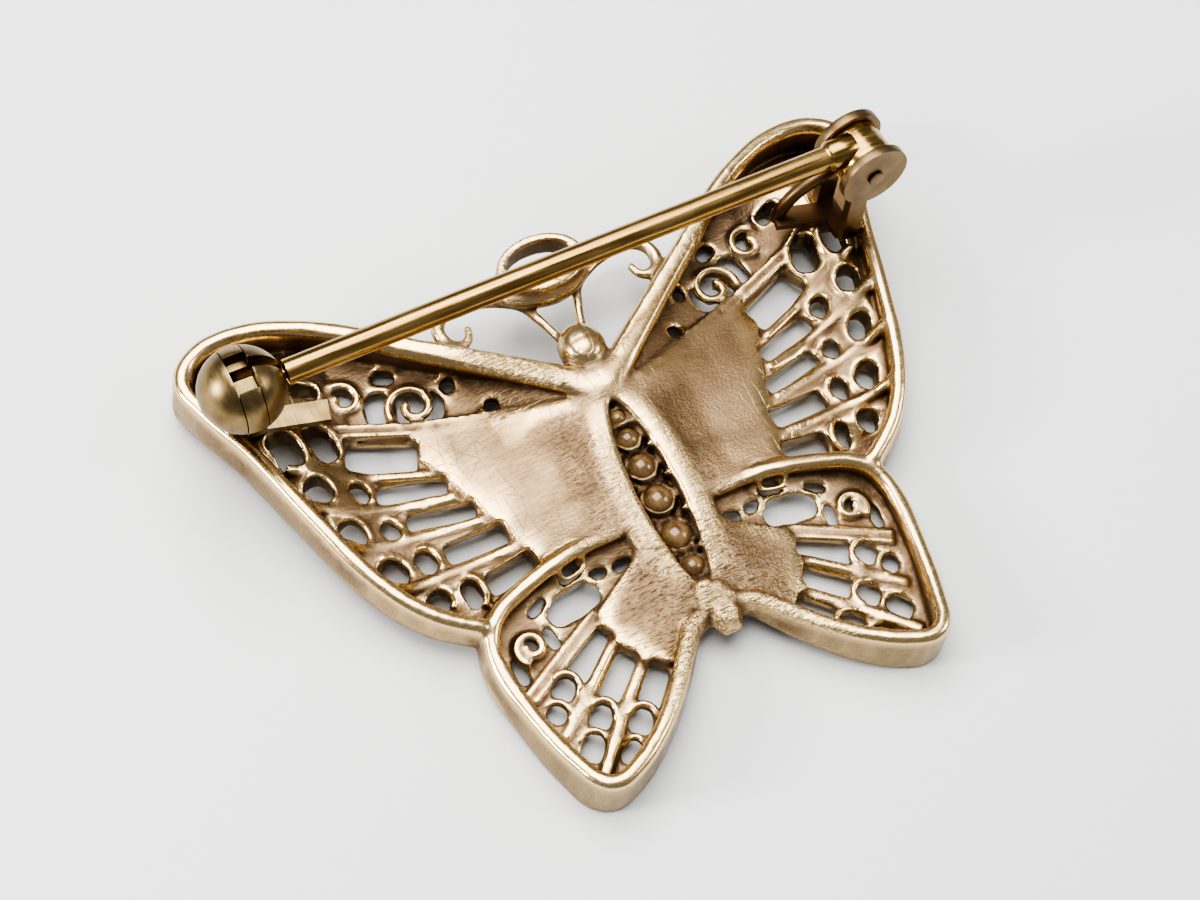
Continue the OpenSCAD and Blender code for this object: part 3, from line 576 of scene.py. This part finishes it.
# Rays come from above; over an opening a wire keeps its last level
layingDown = {
    "above": 20,
    "lowest": 0.5,
    "start": 1.5,
}


def levelAt(solid, place):
    start = Vector((place.x, place.y + middleY, layingDown["above"]))
    hit = solid.ray_cast(start, Vector((0, 0, -1)))
    return hit[0].z if hit[0] is not None else None


def laidOn(solid, places, radius, lift=0.0):
    laid = []
    for place in places:
        level = levelAt(solid, place)
        if level is None or level < layingDown["lowest"]:
            level = laid[-1].z + radius - lift if laid else layingDown["start"]
        laid.append(Vector((place.x, place.y + middleY, level - radius + lift)))
    return laid


# Keeps the points of a wire within a little of its middle level
def evened(laid, below, above):
    middle = sorted(point.z for point in laid)[len(laid) // 2]
    for point in laid:
        point.z = min(max(point.z, middle - below), middle + above)
    return laid


def rimCurves(wing, rise):
    form = rimWires
    rows = form[wing]
    crest = [planPoint(row, rise) for row in rows]
    outward = []
    for index in range(len(crest)):
        ahead = crest[min(index + 1, len(crest) - 1)] - crest[max(index - 1, 0)]
        outward.append(Vector((-ahead.y, ahead.x, 0)).normalized())
    high = []
    low = []
    for row, place, side in zip(rows, crest, outward):
        high.append(place + Vector((0, middleY, row[2] * rimHeight - form["crestSink"])))
        foot = Vector((0, middleY, row[3] * rimHeight + form["flangeRadius"]))
        low.append(place + side * form["flangeOut"] + foot)
    roots = form["rootGirth"] if wing == "hind" else (1, 1)
    girth = roots + (1,) * (len(rows) - 2)
    curves = [wireCurve(high, form["crestRadius"], factors=girth)]
    curves.append(wireCurve(low, form["flangeRadius"]))
    if wing == "fore":
        inner = []
        for row, place, side in list(zip(rows, crest, outward))[:form["innerRows"]]:
            share = max(0, min(1, 1 - place.x / form["neckSpread"]))
            inward = form["neckExtra"] * share * share * (3 - 2 * share) + form["innerStep"]
            level = Vector((0, middleY, row[2] * rimHeight - form["innerSink"]))
            inner.append(place - side * inward + level)
        curves.append(wireCurve(inner, form["innerRadius"]))
    return curves


def scrollCurve(row, rise, solid):
    centre = planPoint(row, rise)
    steps = math.ceil(row[5] * scrollWires["pointsPerTurn"])
    places = []
    for step in range(steps + 1):
        radius = wingReach * (row[2] + (row[3] - row[2]) * step / steps)
        angle = math.radians(row[4] + 360 * row[5] * step / steps)
        places.append(centre + radius * Vector((math.cos(angle), math.sin(angle), 0)))
    heights = sorted(p.z for p in laidOn(solid, places, scrollWires["radius"], scrollWires["lift"]))
    level = heights[int(len(heights) * scrollWires["levelShare"])]
    return wireCurve([Vector((p.x, p.y + middleY, level)) for p in places], scrollWires["radius"])


def ribCurve(row, rise, solid):
    first, last = planPoint(row, rise), planPoint(row[2:], rise)
    steps = ribWires["steps"]
    laid = laidOn(solid, [first.lerp(last, step / steps) for step in range(-1, steps + 1)], row[4])
    laid[0].z = min(laid[0].z, laid[1].z) - ribWires["rootDrop"]
    return wireCurve(laid, row[4])


def archCurve(row, rise, solid):
    form = archWires
    halfLength = row[2] * wingReach / 2 + form["outside"]
    halfWidth = row[3] * wingReach / 2 + form["outside"]
    turn = Matrix.Rotation(math.radians(row[4]), 3, "Z")
    places = []
    for step in range(form["points"]):
        angle = math.radians(form["start"] + form["sweep"] * step / (form["points"] - 1))
        place = turn @ Vector((halfLength * math.cos(angle), halfWidth * math.sin(angle), 0))
        places.append(planPoint(row, rise) + place)
    laid = laidOn(solid, places, form["radius"], form["lift"])
    return wireCurve(evened(laid, form["evenness"], form["evenness"]), form["radius"])


# Rounded oblong round an opening, laid on the sheet
def lipCurve(row, rise, solid):
    form = lipWires
    halfLength = row[2] * wingReach / 2 + form["outside"]
    halfWidth = row[3] * wingReach / 2 + form["outside"]
    turn = Matrix.Rotation(math.radians(row[4]), 3, "Z")
    places = []
    for step in range(form["points"]):
        angle = math.radians((step + 0.5) * 360 / form["points"])
        across = math.copysign(abs(math.cos(angle)) ** form["corner"], math.cos(angle))
        along = math.copysign(abs(math.sin(angle)) ** form["corner"], math.sin(angle))
        places.append(planPoint(row, rise) + turn @ Vector((halfLength * across, halfWidth * along, 0)))
    laid = laidOn(solid, places, form["radius"], form["lift"])
    return wireCurve(evened(laid, form["below"], form["above"]), form["radius"], True)


def antennaCurve():
    form = headForm
    points = [Vector((x, form["place"][1] + y, form["antennaLevel"])) for x, y in form["antenna"]]
    return wireCurve(points, form["antennaRadius"], factors=form["antennaGirth"])


# The hoop is thicker on the side of the head, where the leaf-shaped crossbar meets it
def hoopCurves():
    form = headForm
    acrossRadius, alongRadius = form["hoopRadii"]
    curves = []
    for level, radius in form["hoopLevels"]:
        ring = []
        factors = []
        for step in range(form["hoopPoints"]):
            angle = math.radians(360 / form["hoopPoints"] * step)
            across, along = math.cos(angle), math.sin(angle)
            ring.append(Vector((acrossRadius * across, form["hoopY"] + alongRadius * along, level)))
            factors.append(1 + form["hoopNear"] * max(0, -along) - form["hoopFar"] * max(0, along))
        curves.append(wireCurve(ring, radius, True, factors))
    bar = [Vector((x, y + middleY, form["crossbarLevel"])) for x, y in form["crossbar"]]
    curves.append(wireCurve(bar, form["crossbarRadius"], factors=form["crossbarGirth"]))
    return curves


# Collar round each pearl, a little above its widest place
def collarCurves():
    curves = []
    for number in range(1, 7):
        low, high = (Vector(corner) * 1000 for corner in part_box("pearl_%d" % number))
        centre, radius = (low + high) / 2, (high.x - low.x) / 2
        lift = settingForm["drop"] * radius
        reach = math.sqrt(radius * radius - lift * lift) + settingForm["overlap"]
        ring = []
        for step in range(settingForm["points"]):
            angle = math.radians(360 / settingForm["points"] * step)
            across, along = reach * math.cos(angle), reach * math.sin(angle)
            ring.append(Vector((centre.x + across, centre.y + along, centre.z + lift)))
        curves.append(wireCurve(ring, settingForm["wire"], True))
    return curves


def curveMesh(data):
    holder = bpy.data.objects.new("holder", data)
    scene.collection.objects.link(holder)
    mesh = evaluatedMesh(holder)
    bpy.data.objects.remove(holder)
    return mesh


# The cast wings: the solid remeshed so that its edges run soft, as from a wax
castSettings = {
    "voxel": 0.1,
    "smoothing": 6,
    "plateSmoothing": 70,
    "rimSmoothing": 14,
    "rootSmoothing": 30,
    "rootFrom": (2.2, -5.0),
    "rootTo": (4.6, -2.3),
    "relaxing": 2,
    "triangles": 270000,
}

# The plates fall a little hollow beside the body, from and to a distance across
plateDip = {
    "depth": 0.2,
    "from": 1.9,
    "rise": 1.3,
    "to": 3.6,
    "fall": 3.5,
    "alongTo": 6.3,
    "alongFade": 1.5,
}

# Level parts: upward faces away from the slot, and the band of the body round it
plateZones = {
    "rounds": 30,
    "slot": (1.6, 6.1),
    "upward": 0.85,
    "evenness": 0.06,
    "farthest": 10,
    "body": (3.9, 6.6),
    "bodyUpward": 0.5,
}

# Where the metal is worn, polished, pitted or dirty, and where highlight and shade are painted
wearAndPaintedLight = {
    "ridgeRounds": 40,
    "ridgeHeight": 0.12,
    "hollowRounds": 14,
    "hollowDepth": 0.06,
    "polishNear": 0.5,
    "polishFade": 0.22,
    "polishRoot": 5.2,
    "onRims": 0.3,
    "slot": (1.1, 5.5),
    "bodyLevel": 2.72,
    "slotDark": 0.35,
    "slotDeepening": 0.55,
    "sideFrom": 0.45,
    "sideFade": 0.5,
    "tail": {"from": 3.2, "fade": 1.5, "to": 6, "toFade": 3.5},
    "flank": {"middle": 2.8, "top": 1.1, "fade": 1.5, "most": 0.55, "to": 6.6, "toFade": 1.5},
    "filed": {"middle": -4.2, "top": 1.4, "fade": 2, "most": 0.7, "from": 5.2},
}


def insideOval(across, along, radii):
    return (across / radii[0]) ** 2 + (along / radii[1]) ** 2 < 1


def plateMask(mesh, zones):
    height, points = standsOut(mesh, zones["rounds"])
    up = pointValues(mesh, "normal")[:, 2]
    across, along = np.abs(points[:, 0]), points[:, 1] - middleY
    aside = ~insideOval(across, along, zones["slot"])
    flat = (up > zones["upward"]) & (np.abs(height) < zones["evenness"]) & (across < zones["farthest"])
    band = insideOval(across, along, zones["body"]) & (up > zones["bodyUpward"])
    return aside & (flat | band)


def dipPlates(mesh, dip):
    def step(t):
        t = np.clip(t, 0, 1)
        return t * t * (3 - 2 * t)
    points = pointValues(mesh, "co")
    across, along = np.abs(points[:, 0]), points[:, 1] - middleY
    near = step((across - dip["from"]) / dip["rise"])
    far = 1 - step((across - dip["to"]) / dip["fall"])
    inside = step((dip["alongTo"] - np.abs(along)) / dip["alongFade"])
    points[:, 2] -= dip["depth"] * near * far * inside
    mesh.vertices.foreach_set("co", points.ravel())
    mesh.update()


# 1 on the crests of the rims, falling to 0 a little way off them
def nearRims(points, wearAndLight):
    knots = []
    for wing, rise in (("fore", foreRise), ("hind", hindDrop)):
        data = rimCurves(wing, rise)[0]
        data.bevel_depth = 0
        knots += [v.co.copy() for v in curveMesh(data).vertices
                  if wing == "fore" or v.co.x > wearAndLight["polishRoot"] or v.co.y < 2 * middleY]
    tree = KDTree(2 * len(knots))
    for index, knot in enumerate(knots):
        tree.insert(knot, 2 * index)
        tree.insert((-knot.x, knot.y, knot.z), 2 * index + 1)
    tree.balance()
    reach = np.array([tree.find(point)[2] for point in points])
    return 1 - (reach - wearAndLight["polishNear"]) / wearAndLight["polishFade"]


def storeWearAndPaintedLight(mesh, wearAndLight):
    recess = closedIn(mesh, raySettings)
    height, points = standsOut(mesh, wearAndLight["ridgeRounds"])
    fine, _ = standsOut(mesh, wearAndLight["hollowRounds"])
    # how far each point stands out: painted highlight on the crests
    storeValues(mesh, "ridge", height / wearAndLight["ridgeHeight"])
    storeValues(mesh, "hollow", -fine / wearAndLight["hollowDepth"])
    storeValues(mesh, "polish", nearRims(points, wearAndLight))
    up = pointValues(mesh, "normal")[:, 2]
    # walls facing sideways or down: painted shade
    storeValues(mesh, "side", (wearAndLight["sideFrom"] - up) / wearAndLight["sideFade"])
    across, along = np.abs(points[:, 0]), points[:, 1]
    # the slot grows darker with its depth: painted shade in the slot, added to the oxide of the recess
    inSlot = insideOval(across, along - middleY, wearAndLight["slot"])
    bodyLevel = wearAndLight["bodyLevel"] + (along - middleY) * math.tan(math.radians(settingForm["rise"]))
    depth = bodyLevel - points[:, 2]
    deep = np.where(inSlot, wearAndLight["slotDark"] + depth * wearAndLight["slotDeepening"], 0)
    storeValues(mesh, "recess", np.maximum(recess, deep))
    # pits and fibres at the tail, on the flanks of the body and on the filed stretch of one rim
    tail, flank, filed = wearAndLight["tail"], wearAndLight["flank"], wearAndLight["filed"]
    atTail = np.clip((-along - tail["from"]) / tail["fade"], 0, 1)
    atTail *= np.clip((tail["to"] - across) / tail["toFade"], 0, 1)
    away = np.abs(across - flank["middle"]) / flank["fade"]
    onFlank = np.clip(flank["top"] - away, 0, flank["most"])
    onFlank *= np.clip((flank["to"] - np.abs(along - middleY)) / flank["toFade"], 0, 1)
    away = np.abs(points[:, 0] - filed["middle"]) / filed["fade"]
    onRim = np.clip(filed["top"] - away, 0, filed["most"])
    onRim *= along > filed["from"]
    storeValues(mesh, "pitted", np.maximum(np.maximum(atTail, onFlank), onRim))


# Adds the round wires to the solid: those of one side are mirrored, then the hoop, the collars,
# the neck, the seat and the head follow
def addWires(work):
    solid = BVHTree.FromBMesh(work)
    wires = bmesh.new()
    curves = []
    for wing, rise in (("fore", foreRise), ("hind", hindDrop)):
        curves += rimCurves(wing, rise)
        curves += [scrollCurve(row, rise, solid) for row in scrollWires[wing]]
        curves += [ribCurve(row, rise, solid) for row in ribWires[wing]]
        curves += [archCurve(row, rise, solid) for row in archWires[wing]]
        curves += [lipCurve(row, rise, solid) for row in lipWires[wing]]
    for data in curves + [antennaCurve()]:
        wires.from_mesh(curveMesh(data))
    everything = wires.verts[:] + wires.edges[:] + wires.faces[:]
    bmesh.ops.mirror(wires, geom=everything, merge_dist=0, axis="X")
    for data in hoopCurves() + collarCurves():
        wires.from_mesh(curveMesh(data))
    for place, radii, rise in (
            (headForm["neck"], headForm["neckRadii"], settingForm["rise"]),
            (settingForm["seat"], settingForm["seatRadii"], settingForm["rise"]),
            (headForm["place"], headForm["radii"], 0)):
        lump = bmesh.ops.create_icosphere(wires, subdivisions=headForm["roundness"], radius=1)["verts"]
        bmesh.ops.scale(wires, vec=radii, verts=lump)
        turn = Matrix.Rotation(math.radians(rise), 3, "X")
        bmesh.ops.rotate(wires, cent=(0, 0, 0), matrix=turn, verts=lump)
        bmesh.ops.translate(wires, vec=place, verts=lump)
    bmesh.ops.recalc_face_normals(wires, faces=wires.faces)
    mesh = bpy.data.meshes.new("wires")
    wires.to_mesh(mesh)
    wires.free()
    work.from_mesh(mesh)


smoothFactor = 0.5


def smoothModifier(piece, name, rounds, chosen=None):
    modifier = piece.modifiers.new(name, "SMOOTH")
    modifier.factor = smoothFactor
    modifier.iterations = rounds
    if chosen is not None:
        group = piece.vertex_groups.new(name=name)
        group.add(np.nonzero(chosen)[0].tolist(), 1.0, "REPLACE")
        modifier.vertex_group = name


def castWings(settings):
    work = mergedCopy("wing_frame")
    print("  merged solid:", len(work.faces), "faces")
    addWires(work)
    print("  with the wires:", len(work.faces), "faces")
    mesh = bpy.data.meshes.new("castWings")
    work.to_mesh(mesh)
    work.free()
    piece = bpy.data.objects.new("castWings", mesh)
    scene.collection.objects.link(piece)
    remesh = piece.modifiers.new("remesh", "REMESH")
    remesh.mode = "VOXEL"
    remesh.voxel_size = settings["voxel"]
    mesh = applyModifiers(piece)
    print("  voxel mesh:", len(mesh.polygons), "faces")
    dipPlates(mesh, plateDip)
    points = pointValues(mesh, "co")
    (nearX, nearY), (farX, farY) = settings["rootFrom"], settings["rootTo"]
    across, along = np.abs(points[:, 0]), points[:, 1]
    atRoots = (across > nearX) & (across < farX) & (along > nearY) & (along < farY)
    onRims = nearRims(points, wearAndPaintedLight) > wearAndPaintedLight["onRims"]
    smoothModifier(piece, "soften", settings["smoothing"])
    smoothModifier(piece, "plates", settings["plateSmoothing"], plateMask(mesh, plateZones))
    smoothModifier(piece, "rims", settings["rimSmoothing"], onRims)
    smoothModifier(piece, "roots", settings["rootSmoothing"], atRoots)
    thin = piece.modifiers.new("thin", "DECIMATE")
    thin.ratio = settings["triangles"] / (2 * len(mesh.polygons))
    smoothModifier(piece, "relax", settings["relaxing"])
    mesh = applyModifiers(piece)
    print("  thinned mesh:", len(mesh.polygons), "triangles")
    storeWearAndPaintedLight(mesh, wearAndPaintedLight)
    mesh.transform(Matrix.Scale(mm, 4))
    mesh.shade_smooth()
    mesh.materials.clear()
    mesh.materials.append(casting)
    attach(piece, "frame")
    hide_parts("wing_frame")
    return piece


castWings(castSettings)
print("cast wings made")


# The small turned and stamped pieces: the CAD forms with broken edges.
# Each row: CAD node, body, material slot, material and width of the broken edge
smallPieces = {
    "pinStem": ("pin_stem", "pin", "stem_metal", wire, 0.05),
    "catchBall": ("catch_ball", "frame", "catch_metal", catchMetal, 0.05),
    "catchRotor": ("catch_rotor", "rotor", "catch_metal", catchMetal, 0.04),
    "hingeBracket": ("hinge_bracket", "frame", "hinge_metal", hingeMetal, 0.06),
    "hingeRivet": ("hinge_rivet", "frame", "hinge_metal", hingeMetal, 0.04),
}
edgeSegments = 2
edgeAngle = 35
flatWeight = 80  # large flat faces keep their own direction in the shading
pearlRoundness = 4


def smoothPiece(name, row):
    node, body, slotName, material, edge = row
    work = mergedCopy(node, flatten=True)
    piece = makePiece(name, work, material, body, [node])
    bevel = piece.modifiers.new("edge", "BEVEL")
    bevel.width = edge * mm
    bevel.segments = edgeSegments
    bevel.angle_limit = math.radians(edgeAngle)
    piece.data.shade_smooth()
    even = piece.modifiers.new("even", "WEIGHTED_NORMAL")
    even.weight = flatWeight
    applyModifiers(piece)
    return piece


for name, row in smallPieces.items():
    smoothPiece(name, row)
for number in range(1, 7):
    node = "pearl_%d" % number
    low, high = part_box(node)
    work = bmesh.new()
    bmesh.ops.create_icosphere(work, subdivisions=pearlRoundness, radius=(high.x - low.x) / 2 * 1000)
    bmesh.ops.translate(work, vec=(low + high) / 2 * 1000, verts=work.verts)
    pearl = makePiece("pearl%d" % number, work, nacre, "frame", [node])
    pearl.data.shade_smooth()
print("small pieces and pearls made")


# Pale floor and soft studio light
lightSettings = {
    "softbox": {"place": (-10, 70, 210), "aim": (0, 0, 2), "size": 200, "power": 0.6},
    "strip": {"place": (-170, 40, 80), "aim": (0, 0, 3), "size": 50, "power": 0.22},
    "fill": {"place": (150, -60, 120), "aim": (0, 0, 3), "size": 70, "power": 0.08},
}
roomLight = {"colour": (0.9, 0.95, 1, 1), "strength": 0.22}
floorSettings = {"halfSize": 600, "colour": "#EDEDEB", "roughness": 0.9}


def makeLights(settings):
    for name, light in settings.items():
        data = bpy.data.lights.new(name, "AREA")
        data.size = light["size"] * mm
        data.energy = light["power"]
        lamp = bpy.data.objects.new(name, data)
        scene.collection.objects.link(lamp)
        lamp.location = Vector(light["place"]) * mm
        towards = Vector(light["aim"]) - Vector(light["place"])
        lamp.rotation_euler = towards.to_track_quat("-Z", "Y").to_euler()
    world = bpy.data.worlds.new("studio")
    world.use_nodes = True
    background = world.node_tree.nodes["Background"]
    background.inputs["Color"].default_value = roomLight["colour"]
    background.inputs["Strength"].default_value = roomLight["strength"]
    scene.world = world


def makeFloor(settings):
    work = bmesh.new()
    bmesh.ops.create_grid(work, x_segments=2, y_segments=2, size=settings["halfSize"] * mm)
    mesh = bpy.data.meshes.new("floor")
    work.to_mesh(mesh)
    work.free()
    floor = bpy.data.objects.new("floor", mesh)
    scene.collection.objects.link(floor)
    material, tree, inMm = newMaterial("paleFloor")
    colour = hexColour(settings["colour"])
    finishMaterial(tree, {"Base Color": colour, "Roughness": settings["roughness"]})
    mesh.materials.append(material)


makeLights(lightSettings)
makeFloor(floorSettings)
print("studio made")

# Film-like contrast, a little brighter than neutral
scene.view_settings.view_transform = "AgX"
scene.view_settings.look = "AgX - High Contrast"
scene.view_settings.exposure = 0.2
